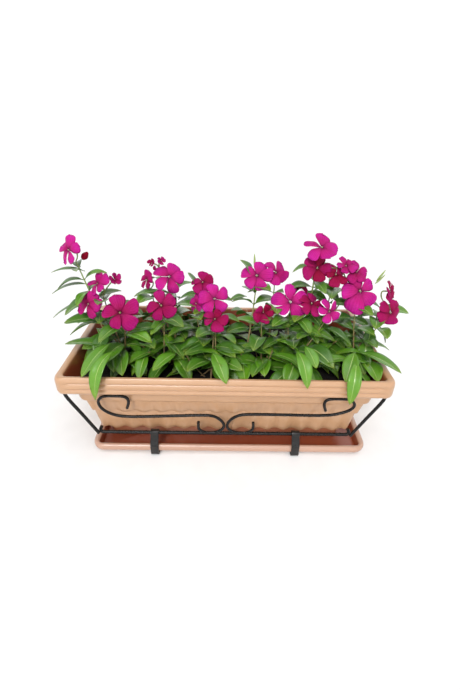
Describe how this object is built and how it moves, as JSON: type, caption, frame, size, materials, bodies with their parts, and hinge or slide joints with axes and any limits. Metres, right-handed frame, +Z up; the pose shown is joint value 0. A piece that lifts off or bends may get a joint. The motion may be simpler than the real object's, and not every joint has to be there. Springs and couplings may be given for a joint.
{
  "type": "self watering planter",
  "caption": "Long tapered trough planter with fluted walls, drip tray, water reservoir insert, scrolled wire and flat-bar holder, and flowering plants.",
  "frame": {"origin": "centre of the whole object's footprint, on the ground under the flat bars", "axes": "+X along the trough to the right as seen from the front, -Y is the front with the scrolls, +Z up"},
  "size_m": [0.5984, 0.3092, 0.345],
  "materials": {
    "terracotta": "satin",
    "terracotta_tray": "satin",
    "dark_plastic": "matte",
    "red_plastic": "gloss",
    "black_wire": "gloss",
    "black_bar": "gloss",
    "steel": "satin",
    "soil": "matte",
    "foliage": "satin",
    "petal": "satin",
    "stem": "satin"
  },
  "bodies": {
    "holder": {"front_rod": "black_wire", "stay_left": "black_wire", "stay_right": "black_wire", "rim_hoop": "black_wire", "scroll_left": "black_wire", "scroll_right": "black_wire", "hanger_bar_left": "black_bar", "hanger_bar_right": "black_bar", "drip_tray": "terracotta_tray"},
    "trough": {"trough": "terracotta", "drain_plug": "dark_plastic"},
    "insert": {"separator_plate": "dark_plastic", "wick_cup_left": "dark_plastic", "wick_cup_right": "dark_plastic", "fill_tube": "dark_plastic", "level_tube": "dark_plastic", "lid_pin": "steel"},
    "fill_lid": {"fill_lid": "dark_plastic"},
    "float": {"float": "red_plastic", "level_indicator": "red_plastic"},
    "planting": {"potting_soil": "soil", "plant_1_stem": "stem", "plant_1_foliage": "foliage", "plant_2_stem": "stem", "plant_2_foliage": "foliage", "plant_3_stem": "stem", "plant_3_foliage": "foliage", "plant_4_stem": "stem", "plant_4_foliage": "foliage", "plant_5_stem": "stem", "plant_5_foliage": "foliage", "plant_6_stem": "stem", "plant_6_foliage": "foliage", "plant_7_stem": "stem", "plant_7_foliage": "foliage"}
  },
  "joints": [
    {"name": "trough_lift", "type": "slide", "parent": "holder", "child": "trough", "axis": [0, 0, 1], "range_m": [0, 0.2]},
    {"name": "insert_lift", "type": "slide", "parent": "trough", "child": "insert", "axis": [0, 0, 1], "range_m": [0, 0.16]},
    {"name": "planting_lift", "type": "slide", "parent": "insert", "child": "planting", "axis": [0, 0, 1], "range_m": [0, 0.15]},
    {"name": "fill_lid_hinge", "type": "hinge", "parent": "insert", "child": "fill_lid", "pos_m": [-0.178, 0.0624, 0.13755], "axis": [-1, 0, 0], "range_deg": [0, 100]},
    {"name": "float_rise", "type": "slide", "parent": "insert", "child": "float", "axis": [0, 0, 1], "range_m": [0, 0.024]}
  ]
}
